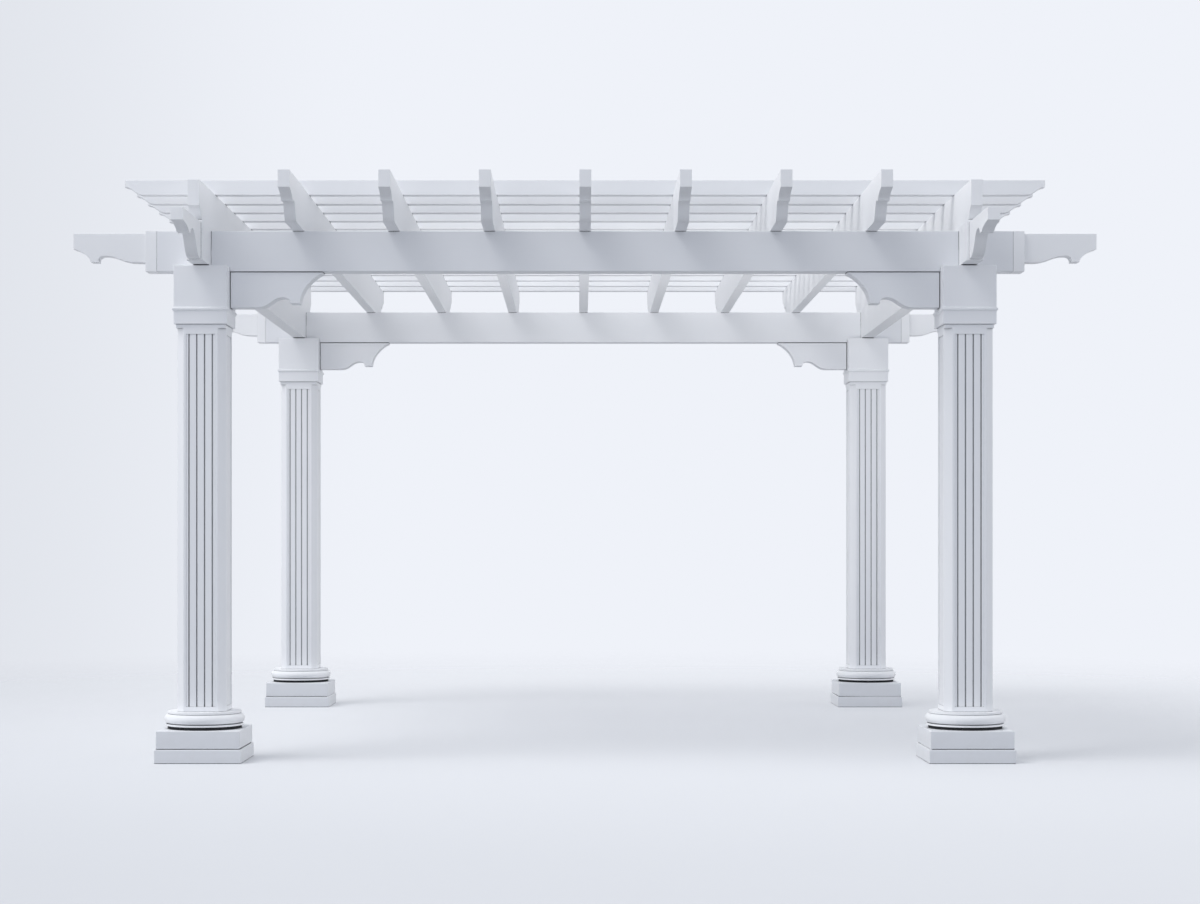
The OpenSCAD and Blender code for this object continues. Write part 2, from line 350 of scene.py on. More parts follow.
@dataclass(frozen=True)
class PaintFinish:
    """Exterior white brushed on softwood: faint grain, brush lines, uneven tone, and painted shade with dirt
    in joints and corners.

    Attributes:
        name: The material's name.
        grain: Which way the grain runs.
        colour: The clean paint.
        aged: The paint where it has dulled.
        shade_and_dust: The near-black colour of the painted shade and dirt in joints and corners.
        primer: The coat that shows where an arris is rubbed.
        roughness: The paint's roughness, by the brush lines.
        gloss: Its specular level.
        grain_lines: The grain.
        brush_lines: The lines that the brush leaves.
        brush_share: How high they stand beside the grain.
        relief: How far both stand out.
        patches: The uneven tone over a board.
        board_share: How much of the tone is the same all over a board.
        ageing: How the tone dulls the paint.
        dull_grain: How the grain's highest lines dull it.
        splash: How thick rain splashes lie, by the height above the ground.
        spots: The splashes' pattern.
        spotting: How the pattern breaks them up.
        chips: The pattern of rubbed places on an arris.
        chipping: Where the pattern is rubbed, and how much primer shows there.
        creases: The painted shade and dirt in joints and corners, wide and fine.
    """

    name: str
    grain: Grain
    colour: Colour = (0.896, 0.905, 0.926)
    aged: Colour = (0.863, 0.873, 0.897)
    shade_and_dust: Colour = (0.07, 0.072, 0.080)
    primer: Colour = (0.74, 0.74, 0.74)
    roughness: Band = Band((0.3, 0.7), (0.39, 0.51))
    gloss: float = 0.4
    grain_lines: Pattern = Pattern(90.0, 5.0)
    brush_lines: Pattern = Pattern(420.0, 2.0)
    brush_share: float = 0.6
    relief: Relief = Relief(0.24, 0.0009)
    patches: Pattern = Pattern(1.9, 3.0)
    board_share: float = 0.3
    ageing: Band = Band((0.3, 0.75))
    dull_grain: Band = Band((0.62, 0.8), (0.0, 0.35))
    splash: Band = Band((0.0, 0.35), (0.12, 0.0))
    spots: Pattern = Pattern(26.0, 4.0)
    spotting: Band = Band((0.42, 0.66))
    chips: Pattern = Pattern(60.0, 3.0)
    chipping: Band = Band((0.56, 0.64), (0.0, 0.35))
    creases: tuple[Crease, Crease] = (
        Crease(0.011, Band((0.15, 0.70), (0.95, 0.0))),
        Crease(0.004, Band((0.30, 0.90), (0.85, 0.0))),
    )

    def pair(self) -> Paint:
        """The material of the faces, and that of the rubbed arrises."""
        return self._material(self.name, False), self._material(f"{self.name}_arris", True)

    def _material(self, name: str, rubbed: bool) -> bpy.types.Material:
        """Builds one material.

        Args:
            name: Its name.
            rubbed: Whether primer shows through.

        Returns:
            The material.
        """
        surface = Surface(name)
        along = surface.value("ShaderNodeMapping", {"Vector": surface.place, "Scale": self.grain.value})
        grain = surface.noise(along, self.grain_lines)
        brush = surface.noise(along, self.brush_lines)
        height = surface.math("ADD", grain, surface.math("MULTIPLY", brush, self.brush_share))
        inputs = {
            "Base Color": self._colour(surface, grain, rubbed),
            "Roughness": surface.spread(brush, self.roughness),
            "Normal": surface.bump(height, self.relief),
            "Specular IOR Level": self.gloss,
        }
        return surface.close(surface.principled(inputs))

    def _colour(self, surface: Surface, grain: Socket, rubbed: bool) -> Socket:
        """The paint's colour: uneven tone, splashes near the ground, rubbed arrises, and painted shade with
        dirt in joints.

        Args:
            surface: The material to add it to.
            grain: The grain lines.
            rubbed: Whether primer shows through.

        Returns:
            The colour's socket.
        """
        aged, primer = rgba(self.aged), rgba(self.primer)
        patch = surface.math("MULTIPLY", surface.noise(surface.place, self.patches), 1 - self.board_share)
        board = surface.add("ShaderNodeAttribute", attribute_name=TONE).outputs["Fac"]
        tone = surface.math("ADD", patch, surface.math("MULTIPLY", board, self.board_share))
        colour = surface.mix(surface.spread(tone, self.ageing), rgba(self.colour), aged)
        colour = surface.mix(surface.spread(grain, self.dull_grain), colour, aged)
        height = surface.add("ShaderNodeSeparateXYZ", {"Vector": surface.place}).outputs["Z"]
        spots = surface.spread(surface.noise(surface.place, self.spots), self.spotting)
        splashed = surface.math("MULTIPLY", surface.spread(height, self.splash), spots)
        colour = surface.mix(splashed, colour, primer)
        if rubbed:
            chips = surface.spread(surface.noise(surface.place, self.chips), self.chipping)
            colour = surface.mix(chips, colour, primer)
        # Painted shade: ambient occlusion darkens corners and joints towards a near-black colour.
        wide, fine = (self._shade_cover(surface, crease) for crease in self.creases)
        return surface.mix(surface.math("MAXIMUM", wide, fine), colour, rgba(self.shade_and_dust))

    def _shade_cover(self, surface: Surface, crease: Crease) -> Socket:
        """How much painted shade, with dirt, darkens a place, by how closed in it is.

        Args:
            surface: The material to add it to.
            crease: The dust.

        Returns:
            The cover's socket.
        """
        inputs = {"Distance": crease.reach}
        node = surface.add("ShaderNodeAmbientOcclusion", inputs, samples=CREASE_SAMPLES)
        return surface.spread(node.outputs["AO"], crease.cover)


@dataclass(frozen=True)
class NeckShadeFinish:
    """A near-black sheet of painted shade for the dark gap under each round base, with the grit of bitumen
    felt.

    Attributes:
        name: The material's name.
        colour: The near-black of the painted shade.
        grit: The paler mineral on it.
        roughness: Its roughness.
        gloss: Its specular level.
        specks: The mineral's pattern.
        speckling: Where the pattern shows the mineral.
        relief: How far the mineral stands out.
    """

    name: str = "painted_neck_shade"
    colour: Colour = (0.022, 0.023, 0.026)
    grit: Colour = (0.060, 0.061, 0.066)
    roughness: float = 0.85
    gloss: float = 0.25
    specks: Pattern = Pattern(700.0, 2.0)
    speckling: Band = Band((0.5, 0.65))
    relief: Relief = Relief(0.4, 0.0006)

    def material(self) -> bpy.types.Material:
        """Builds the near-black painted shade.

        Returns:
            The material.
        """
        surface = Surface(self.name)
        specks = surface.noise(surface.place, self.specks)
        shown = surface.spread(specks, self.speckling)
        inputs = {
            "Base Color": surface.mix(shown, rgba(self.colour), rgba(self.grit)),
            "Roughness": self.roughness,
            "Normal": surface.bump(specks, self.relief),
            "Specular IOR Level": self.gloss,
        }
        return surface.close(surface.principled(inputs))


@dataclass(frozen=True)
class ScrewFinish:
    """Stainless steel, brushed and a little dulled by weather.

    Attributes:
        name: The material's name.
        colour: The bare metal.
        dulled: The metal where weather has dulled it.
        scratches: The scratches' pattern.
        roughness: The metal's roughness, by the scratches.
        relief: How far the scratches stand out.
    """

    name: str
    colour: Colour = (0.60, 0.60, 0.61)
    dulled: Colour = (0.42, 0.42, 0.43)
    scratches: Pattern = Pattern(700.0, 3.0)
    roughness: Band = Band((0.3, 0.7), (0.28, 0.46))
    relief: Relief = Relief(0.1, 0.0004)

    def material(self) -> bpy.types.Material:
        """Builds the metal, with fine scratches.

        Returns:
            The material.
        """
        surface = Surface(self.name)
        scratches = surface.noise(surface.place, self.scratches)
        inputs = {
            "Base Color": surface.mix(scratches, rgba(self.colour), rgba(self.dulled)),
            "Metallic": 1.0,
            "Roughness": surface.spread(scratches, self.roughness),
            "Normal": surface.bump(scratches, self.relief),
        }
        return surface.close(surface.principled(inputs))


def levels(bm: bmesh.types.BMesh, axis: Axis) -> list[float]:
    """The places along one axis where a timber has corners, from the lowest up."""
    return sorted({round(v.co[axis], DECIMALS) for v in bm.verts})


def to_mesh(bm: bmesh.types.BMesh, name: str) -> bpy.types.Mesh:
    """Turns a shape into a mesh.

    Args:
        bm: The shape, which is freed.
        name: The mesh's name.

    Returns:
        The mesh.
    """
    mesh = bpy.data.meshes.new(name)
    bm.to_mesh(mesh)
    bm.free()
    return mesh


def put_in_scene(name: str, data: bpy.types.ID) -> bpy.types.Object:
    """Makes an object of a mesh, a lamp or a camera.

    Args:
        name: The object's name.
        data: What it shows.

    Returns:
        The object.
    """
    thing = bpy.data.objects.new(name, data)
    bpy.context.scene.collection.objects.link(thing)
    return thing


def settle(piece: bpy.types.Object) -> None:
    """Turns a piece and its live modifiers into a plain mesh.

    Args:
        piece: The piece.
    """
    graph = bpy.context.evaluated_depsgraph_get()
    mesh = bpy.data.meshes.new_from_object(
        piece.evaluated_get(graph), preserve_all_data_layers=True, depsgraph=graph
    )
    mesh.name = piece.name
    piece.modifiers.clear()
    piece.data = mesh


class Recipe:
    """A Geometry Nodes tree with named inputs, and the modifier that runs it."""

    def __init__(self, name: str, inputs: dict[str, str]) -> None:
        """Starts a tree with a geometry input and output.

        Args:
            name: The tree's name.
            inputs: The type of each further input, by name.
        """
        self.tree = bpy.data.node_groups.new(name, "GeometryNodeTree")
        self.graph = Graph(self.tree)
        sockets = self.tree.interface
        sockets.new_socket("Geometry", in_out="OUTPUT", socket_type="NodeSocketGeometry")
        sockets.new_socket("Geometry", in_out="INPUT", socket_type="NodeSocketGeometry")
        self.identifiers = {
            socket: sockets.new_socket(socket, in_out="INPUT", socket_type=kind).identifier
            for socket, kind in inputs.items()
        }
        self.given = self.graph.add("NodeGroupInput").outputs

    def close(self, geometry: Socket) -> None:
        """Sends the last geometry to the tree's output."""
        self.graph.add("NodeGroupOutput", {"Geometry": geometry})

    def run(self, piece: bpy.types.Object, values: dict[str, object]) -> None:
        """Adds the tree to a piece.

        Args:
            piece: The object that takes it.
            values: What each named input is set to.
        """
        modifier = piece.modifiers.new(self.tree.name, "NODES")
        modifier.node_group = self.tree
        for name, value in values.items():
            modifier[self.identifiers[name]] = value


@dataclass(frozen=True)
class Row:
    """Equal boards at equal steps, each with its own slight tone.

    Attributes:
        name: The row's name.
        count: How many boards.
        step: From one board to the next.
        seed: What the tones are drawn from.
    """

    name: str
    count: int
    step: Point
    seed: int

    def lay(self, board: bpy.types.Object, paint: Paint) -> None:
        """Repeats a board along the row.

        Args:
            board: The first board, in its place.
            paint: The materials of faces and arrises.
        """
        recipe = Recipe(
            self.name,
            {
                "Count": "NodeSocketInt",
                "Step": "NodeSocketVector",
                "Seed": "NodeSocketInt",
                "Face paint": "NodeSocketMaterial",
                "Arris paint": "NodeSocketMaterial",
            },
        )
        graph, given = recipe.graph, recipe.given
        line = {"Count": given["Count"], "Offset": given["Step"]}
        places = graph.value("GeometryNodeMeshLine", line, mode="OFFSET")
        copies = {"Points": places, "Instance": given["Geometry"]}
        boards = graph.value("GeometryNodeInstanceOnPoints", copies)
        tone = graph.value("FunctionNodeRandomValue", {"Seed": given["Seed"]}, data_type="FLOAT")
        toned = graph.value(
            "GeometryNodeStoreNamedAttribute",
            {"Geometry": boards, "Name": TONE, "Value": tone},
            data_type="FLOAT",
            domain="INSTANCE",
        )
        solid = graph.value("GeometryNodeRealizeInstances", {"Geometry": toned})
        inputs = {"Geometry": solid, "Material": given["Face paint"]}
        faces = graph.value("GeometryNodeSetMaterial", inputs)
        rubbed = graph.value("GeometryNodeInputNamedAttribute", {"Name": ARRIS}, data_type="BOOLEAN")
        inputs = {"Geometry": faces, "Selection": rubbed, "Material": given["Arris paint"]}
        recipe.close(graph.value("GeometryNodeSetMaterial", inputs))
        values = {"Count": self.count, "Step": self.step, "Seed": self.seed}
        paints = {"Face paint": paint[Coat.FACE], "Arris paint": paint[Coat.ARRIS]}
        recipe.run(board, values | paints)


@dataclass(frozen=True)
class Joint:
    """A plane where a timber meets its neighbour.

    Attributes:
        axis: The axis across the plane.
        level: Where the plane is on that axis.
        step: How far the timber draws back.
        depth: How near the plane a corner must be to move with it.
    """

    axis: Axis
    level: float
    step: float
    depth: float = SAME_PLACE


class Workshop:
    """Copies CAD timbers, eases their edges, paints them and puts them on the frame."""

    def __init__(self) -> None:
        """Mixes each paint once, and the near-black painted shade for the bases' necks."""
        self.upright = PaintFinish("upright_paint", Grain.UPRIGHT).pair()
        self.turned = PaintFinish(
            "turned_paint",
            Grain.TURNED,
            (0.925, 0.932, 0.948),
            (0.896, 0.904, 0.924),
            shade_and_dust=(0.28, 0.29, 0.31),
            grain_lines=Pattern(140.0, 5.0),
        ).pair()
        # A near-black material, painted as the shade in the gap under each round base.
        self.neck_shade = NeckShadeFinish().material()
        self.step = PaintFinish(
            "plinth_paint",
            Grain.ALONG_X,
            (0.838, 0.851, 0.878),
            (0.815, 0.829, 0.858),
            roughness=Band((0.3, 0.7), (0.45, 0.57)),
        ).pair()
        # Paler than the other white paint: painted light on the battens and on the front and back beams'
        # tails.
        self.across = PaintFinish(
            "lit_batten_paint", Grain.ALONG_X, (0.915, 0.920, 0.932), (0.885, 0.892, 0.908)
        ).pair()
        # Darker than the other white paint: painted shade on the front and back beams and on the brackets.
        self.beam = PaintFinish(
            "shaded_beam_paint", Grain.ALONG_X, (0.835, 0.846, 0.870), (0.800, 0.812, 0.838)
        ).pair()
        self.deep = PaintFinish(
            "deep_paint", Grain.ALONG_Y, (0.905, 0.912, 0.926), (0.878, 0.886, 0.902)
        ).pair()
        self.pieces: list[bpy.types.Object] = []

    def whole(self, node: str) -> bmesh.types.BMesh:
        """A copy of a CAD node with its triangles merged into whole faces.

        Args:
            node: The node's name.

        Returns:
            The copy, which the caller frees.
        """
        bm = bmesh.new()
        bm.from_mesh(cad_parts[node].data)
        bmesh.ops.remove_doubles(bm, verts=bm.verts, dist=MERGE_DISTANCE)
        bmesh.ops.dissolve_limit(bm, angle_limit=FLAT_ANGLE, verts=bm.verts, edges=bm.edges)
        for face in bm.faces:
            face.material_index = Coat.FACE
        return bm

    def ease(self, bm: bmesh.types.BMesh, width: float) -> None:
        """Rounds every outward edge.

        Args:
            bm: The timber.
            width: How far the rounding reaches from the edge.
        """
        edges = [e for e in bm.edges if e.is_manifold and e.calc_face_angle_signed() > EDGE_ANGLE]
        bmesh.ops.bevel(
            bm,
            geom=edges,
            offset=width,
            segments=ROUND_SEGMENTS,
            profile=ROUND_PROFILE,
            affect="EDGES",
            clamp_overlap=False,
            loop_slide=True,
            material=Coat.ARRIS,
        )

    def draw_back(self, bm: bmesh.types.BMesh, joint: Joint) -> None:
        """Moves a timber's end back from a joint, which leaves a thin shadow gap.

        Args:
            bm: The timber.
            joint: Where the joint is, and how far to move.
        """
        for vert in bm.verts:
            if abs(vert.co[joint.axis] - joint.level) < joint.depth:
                vert.co[joint.axis] += joint.step

    def finish(
        self,
        bm: bmesh.types.BMesh,
        name: str,
        paint: Paint,
        slot: Slot,
        nodes: list[str],
        row: Row | None = None,
    ) -> None:
        """Makes a timber an object, repeats it if it is one of a row, and puts it on the frame.

        Args:
            bm: The timber, which is freed.
            name: The piece's name.
            paint: Its materials, in the order of Coat.
            slot: The record's material slot.
            nodes: The CAD nodes that it stands for.
            row: The row that it starts, if any.
        """
        mesh = to_mesh(bm, name)
        for material in paint:
            mesh.materials.append(material)
        mesh.shade_smooth()
        mesh.set_sharp_from_angle(angle=CREASE_ANGLE)
        arris = mesh.attributes.new(ARRIS, "BOOLEAN", "FACE")
        arris.data.foreach_set("value", [p.material_index == Coat.ARRIS for p in mesh.polygons])
        piece = put_in_scene(name, mesh)
        if row:
            row.lay(piece, paint)
        normals = piece.modifiers.new("even_normals", "WEIGHTED_NORMAL")
        normals.keep_sharp = True
        settle(piece)
        self.mount(piece, slot, nodes)

    def mount(self, piece: bpy.types.Object, slot: Slot | None, nodes: list[str]) -> None:
        """Puts a finished piece on the frame.

        Args:
            piece: The piece.
            slot: The record's material slot, if it has one; not used.
            nodes: The CAD nodes that it stands for.
        """
        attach(piece, BODY)
        if nodes:
            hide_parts(*nodes)
        self.pieces.append(piece)
        log.info("%s: %d faces", piece.name, len(piece.data.polygons))

    def timber(
        self, node: str, paint: Paint, slot: Slot, width: float, joints: tuple[Joint, ...] = ()
    ) -> None:
        """Makes the finished copy of one CAD node.

        Args:
            node: The node's name.
            paint: The materials of faces and arrises.
            slot: The record's material slot.
            width: How far the rounding of its edges reaches.
            joints: The joints that it draws back from.
        """
        bm = self.whole(node)
        for joint in joints:
            self.draw_back(bm, joint)
        self.ease(bm, width)
        self.finish(bm, f"{node}_timber", paint, slot, [node])


@dataclass
class Column:
    """One column from the ground to the beams, with its bracket.

    Attributes:
        corner: Which column it is.
        shop: Where its timbers are finished.
        stone_round: Rounding of the plinth's edges.
        groove: Height and depth of the groove between the plinth's steps.
        turned_round: Rounding of the round base's edges.
        shaft_round: Rounding of the shaft's edges and flutes.
        cap_round: Rounding of the capital's edges.
        bracket_round: Rounding of the bracket's edges.
        gap: Shadow gap where the bracket meets the beam and the capital.
        tip: More than the thickness of the bracket's tip.
    """

    corner: Corner
    shop: Workshop
    stone_round: float = 0.004
    groove: float = 0.007
    turned_round: float = 0.002
    shaft_round: float = 0.0012
    cap_round: float = 0.0025
    bracket_round: float = 0.002
    gap: float = 0.003
    tip: float = 0.006

    def build(self) -> None:
        """Finishes the plinth, the base, the shaft, the capital and the bracket."""
        name, shop = self.corner.value, self.shop
        self.plinth()
        self.round_base()
        shop.timber(f"{name}_shaft", shop.upright, Slot.COLUMN, self.shaft_round)
        shop.timber(f"{name}_capital", shop.upright, Slot.COLUMN, self.cap_round)
        self.bracket()

    def plinth(self) -> None:
        """Finishes the plinth's two steps, with a thin groove where one stands on the other."""
        name = f"{self.corner.value}_plinth"
        bm = self.shop.whole(name)
        low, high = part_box(name)
        middle = (low + high) / 2
        ledge = levels(bm, Axis.Z)[1]
        everything = bm.verts[:] + bm.edges[:] + bm.faces[:]
        top = (0, 0, ledge + self.groove)
        bmesh.ops.bisect_plane(bm, geom=everything, plane_co=top, plane_no=(0, 0, 1))
        self.shop.ease(bm, self.stone_round)
        half = (high.x - low.x) / 2 - self.groove
        for vert in bm.verts:
            reach = max(abs(vert.co.x - middle.x), abs(vert.co.y - middle.y))
            if abs(vert.co.z - ledge) < SAME_PLACE and reach < half:
                vert.co.x += math.copysign(self.groove, middle.x - vert.co.x)
                vert.co.y += math.copysign(self.groove, middle.y - vert.co.y)
        self.shop.finish(bm, f"{name}_timber", self.shop.step, Slot.BASE, [name])

    def round_base(self) -> None:
        """Finishes the round base, with near-black painted shade on the neck that it stands on and under the
        fillet.
        """
        name = f"{self.corner.value}_base"
        bm = self.shop.whole(name)
        low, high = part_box(name)
        middle = (low + high) / 2
        under = levels(bm, Axis.Z)[1] + SAME_PLACE
        lip = max((v.co.xy - middle.xy).length for v in bm.verts if v.co.z < under)
        self.shop.ease(bm, self.turned_round)
        # Painted shade: the neck and the fillet's underside take a near-black material where the gap is in
        # shade.
        for face in bm.faces:
            centre = face.calc_center_median()
            if centre.z < under and (centre.xy - middle.xy).length < lip - self.turned_round:
                face.material_index = Coat.NECK_SHADE
        paint = (*self.shop.turned, self.shop.neck_shade)
        self.shop.finish(bm, f"{name}_timber", paint, Slot.BASE, [name])

    def bracket(self) -> None:
        """Finishes the bracket, drawn back from the capital and the beam by a shadow gap."""
        name = f"{self.corner.value}_bracket"
        low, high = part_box(name)
        inward = 1.0 if low.x < 0 else -1.0
        wall = low.x if inward > 0 else high.x
        joints = (
            Joint(Axis.X, wall, inward * self.gap),
            Joint(Axis.Z, high.z, -self.gap, self.tip),
        )
        self.shop.timber(name, self.shop.beam, Slot.BEAM, self.bracket_round, joints)


@dataclass
class BeamRing:
    """The four beams that cross on the columns, with the scroll-cut tails at their ends.

    Attributes:
        shop: Where the timbers are finished.
        beam_round: Rounding of the beams' edges.
        tail_round: Rounding of the scrolls' edges.
        gap: Shadow gap where a side beam sits on its capitals.
    """

    shop: Workshop
    beam_round: float = 0.003
    tail_round: float = 0.0015
    gap: float = 0.004

    def build(self) -> None:
        """Finishes the through beams, the side beams and all the tails."""
        shop = self.shop
        for side in ("front", "back"):
            shop.timber(f"{side}_beam", shop.beam, Slot.BEAM, self.beam_round)
            shop.timber(f"{side}_beam_tails", shop.across, Slot.BEAM, self.tail_round)
        for side in ("left", "right"):
            seat = Joint(Axis.Z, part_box(f"{side}_beam")[0].z, self.gap)
            shop.timber(f"{side}_beam", shop.deep, Slot.BEAM, self.beam_round, (seat,))
            shop.timber(f"{side}_beam_tails", shop.deep, Slot.BEAM, self.tail_round, (seat,))


@dataclass
class Roof:
    """The rafters, the battens over them and the screws through the battens.

    Attributes:
        shop: Where the timbers are finished.
        rafter_round: Rounding of the rafters' edges.
        batten_round: Rounding of the battens' edges.
        skim: How far the battens' tops are planed, so that the screw heads stay in their height.
        rafter_count: Rafters between the two over the side beams.
        batten_count: Battens.
        seed: What the rafters' tones and the screws' turns are drawn from.
    """

    shop: Workshop
    rafter_round: float = 0.0015
    batten_round: float = 0.0025
    skim: float = 0.0008
    rafter_count: int = 7
    batten_count: int = 15
    seed: int = 11

    def build(self) -> None:
        """Lays the rafters and the battens, and screws the battens down."""
        self.rafters()
        self.battens()
        self.screws()

    def rafters(self) -> None:
        """Makes the two side rafters, and the row of rafters between them."""
        shop = self.shop
        for side in ("left", "right"):
            shop.timber(f"{side}_rafter", shop.deep, Slot.RAFTER, self.rafter_round)
        bm = shop.whole("rafter_1")
        shop.ease(bm, self.rafter_round)
        row = Row("rafter_row", self.rafter_count, (self.rafter_pitch(), 0.0, 0.0), self.seed)
        names = [f"rafter_{i + 1}" for i in range(self.rafter_count)]
        shop.finish(bm, "rafters", shop.deep, Slot.RAFTER, names, row)

    def battens(self) -> None:
        """Makes the row of battens from the frontmost one."""
        shop = self.shop
        bm = shop.whole("battens_1")
        back = levels(bm, Axis.Y)[1]
        others = [v for v in bm.verts if v.co.y > back + SAME_PLACE]
        bmesh.ops.delete(bm, geom=others, context="VERTS")
        shop.draw_back(bm, Joint(Axis.Z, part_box("battens_1")[1].z, -self.skim))
        shop.ease(bm, self.batten_round)
        step = (0.0, self.batten_pitch(), 0.0)
        row = Row("batten_row", self.batten_count, step, self.seed + 1)
        names = [f"battens_{i + 1}" for i in range(self.node_count())]
        shop.finish(bm, "battens", shop.across, Slot.BATTEN, names, row)

    def node_count(self) -> int:
        """How many CAD nodes the battens come in."""
        return sum(name.startswith("battens_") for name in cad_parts)

    def per_node(self) -> int:
        """How many battens each of those nodes holds."""
        return self.batten_count // self.node_count()

    def rafter_pitch(self) -> float:
        """From one rafter to the next."""
        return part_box("rafter_2")[0].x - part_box("rafter_1")[0].x

    def batten_pitch(self) -> float:
        """From one batten to the next, as the first and the last node give it.

        Returns:
            The distance.
        """
        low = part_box("battens_1")[0].y
        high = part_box(f"battens_{self.node_count()}")[0].y
        return (high - low) / (self.batten_count - self.per_node())

    def screws(self) -> None:
        """Puts a screw wherever a batten crosses a rafter that reaches it."""
        lows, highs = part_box("battens_1")
        pitch = self.batten_pitch()
        half = (highs.y - lows.y - (self.per_node() - 1) * pitch) / 2
        first = lows.y + half
        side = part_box("right_rafter")
        reached = int((side[1].y - first) / pitch) + 1
        inner_width = (self.rafter_count - 1) * self.rafter_pitch()
        side_width = side[0].x + side[1].x
        for name, width, across, deep in (
            ("rafter_screws", inner_width, self.rafter_count, self.batten_count),
            ("side_rafter_screws", side_width, 2, reached),
        ):
            depth = (deep - 1) * pitch
            middle = (0.0, first + depth / 2, highs.z - self.skim)
            grid = ScrewGrid(name, (width, depth), (across, deep), middle, self.seed)
            self.shop.mount(grid.build(), None, [])


@dataclass(frozen=True)
class ScrewGrid:
    """Countersunk screws on a grid, each turned its own way.

    Attributes:
        name: The piece's name.
        size: The grid's width and depth between screw centres.
        counts: Screws across and deep.
        middle: The grid's centre on the timber's surface.
        seed: What the turns are drawn from.
        radius: A head's radius.
        rise: How far a head stands above the timber.
        slot_reach: Half the length of the cross in the head.
        slot_half: Half the width of the cross in the head.
        slot_depth: Depth of the cross.
        slot_taper: The cross's size at its bottom, beside that at its top.
        sink: How deep the head goes into the timber.
        sink_taper: The head's size at that depth, beside that at its rim.
    """

    name: str
    size: tuple[float, float]
    counts: tuple[int, int]
    middle: Point
    seed: int
    radius: float = 0.0055
    rise: float = 0.0006
    slot_reach: float = 0.0030
    slot_half: float = 0.0007
    slot_depth: float = 0.0012
    slot_taper: float = 0.8
    sink: float = 0.0024
    sink_taper: float = 0.6

    def build(self) -> bpy.types.Object:
        """Makes the screws.

        Returns:
            All of them as one plain mesh.
        """
        piece = put_in_scene(self.name, to_mesh(self.head(), self.name))
        values = {
            "Width": self.size[0],
            "Depth": self.size[1],
            "Across": self.counts[0],
            "Deep": self.counts[1],
            "Middle": self.middle,
            "Seed": self.seed,
            "Metal": ScrewFinish(f"{self.name}_steel").material(),
        }
        self.recipe().run(piece, values)
        settle(piece)
        return piece

    def head(self) -> bmesh.types.BMesh:
        """One screw head at the origin: a low dome with a cross cut in it, closed below.

        Returns:
            The head, which the caller frees.
        """
        bm = bmesh.new()
        arm, half = self.slot_reach, self.slot_half
        cross = [(half, half), (half, arm), (-half, arm), (-half, half), (-arm, half), (-arm, -half)]
        cross += [(-x, -y) for x, y in cross]
        bottom = self.rise - self.slot_depth
        lip = [bm.verts.new((x, y, self.rise)) for x, y in cross]
        floor = [bm.verts.new((x * self.slot_taper, y * self.slot_taper, bottom)) for x, y in cross]
        angles = [math.atan2(y, x) for x, y in cross]
        edge = [(self.radius * math.cos(a), self.radius * math.sin(a)) for a in angles]
        rim = [bm.verts.new((x, y, 0.0)) for x, y in edge]
        under = [bm.verts.new((x * self.sink_taper, y * self.sink_taper, -self.sink)) for x, y in edge]
        for i, vert in enumerate(lip):
            j = (i + 1) % len(lip)
            bm.faces.new((vert, lip[j], floor[j], floor[i]))
            bm.faces.new((rim[i], rim[j], lip[j], vert))
            bm.faces.new((under[i], under[j], rim[j], rim[i]))
        bm.faces.new(floor)
        bm.faces.new(list(reversed(under)))
        bmesh.ops.recalc_face_normals(bm, faces=bm.faces)
        return bm

    def recipe(self) -> Recipe:
        """The tree that spreads the heads over the grid.

        Returns:
            The closed recipe.
        """
        recipe = Recipe(
            self.name,
            {
                "Width": "NodeSocketFloat",
                "Depth": "NodeSocketFloat",
                "Across": "NodeSocketInt",
                "Deep": "NodeSocketInt",
                "Middle": "NodeSocketVector",
                "Seed": "NodeSocketInt",
                "Metal": "NodeSocketMaterial",
            },
        )
        graph, given = recipe.graph, recipe.given
        sizes = {"Size X": given["Width"], "Size Y": given["Depth"]}
        counts = {"Vertices X": given["Across"], "Vertices Y": given["Deep"]}
        grid = graph.value("GeometryNodeMeshGrid", sizes | counts)
        placed = graph.value("GeometryNodeTransform", {"Geometry": grid, "Translation": given["Middle"]})
        turns = {"Min": (0.0, 0.0, 0.0), "Max": (0.0, 0.0, math.tau), "Seed": given["Seed"]}
        turn = graph.value("FunctionNodeRandomValue", turns, data_type="FLOAT_VECTOR")
        copies = {"Points": placed, "Instance": given["Geometry"], "Rotation": turn}
        heads = graph.value("GeometryNodeInstanceOnPoints", copies)
        solid = graph.value("GeometryNodeRealizeInstances", {"Geometry": heads})
        recipe.close(graph.value("GeometryNodeSetMaterial", {"Geometry": solid, "Material": given["Metal"]}))
        return recipe


@dataclass(frozen=True)
class Softbox:
    """A flat studio lamp that no view shows.

    Attributes:
        name: The lamp's name.
        place: Where it hangs.
        size: Its length and width.
        watts: Its power.
        aim: The point that it faces.
        spread: How wide its light opens, in radians.
    """

    name: str
    place: Point
    size: tuple[float, float]
    watts: float
    aim: Point = (0.0, 0.0, 1.37)
    spread: float = math.pi

    def build(self) -> None:
        """Hangs the lamp."""
        lamp = bpy.data.lights.new(self.name, "AREA")
        lamp.shape = "RECTANGLE"
        lamp.size, lamp.size_y = self.size
        lamp.energy = self.watts
        lamp.spread = self.spread
        holder = put_in_scene(self.name, lamp)
        holder.location = self.place
        facing = Vector(self.aim) - Vector(self.place)
        holder.rotation_euler = facing.to_track_quat("-Z", "Y").to_euler()
        holder.visible_camera = False
        holder.visible_glossy = False


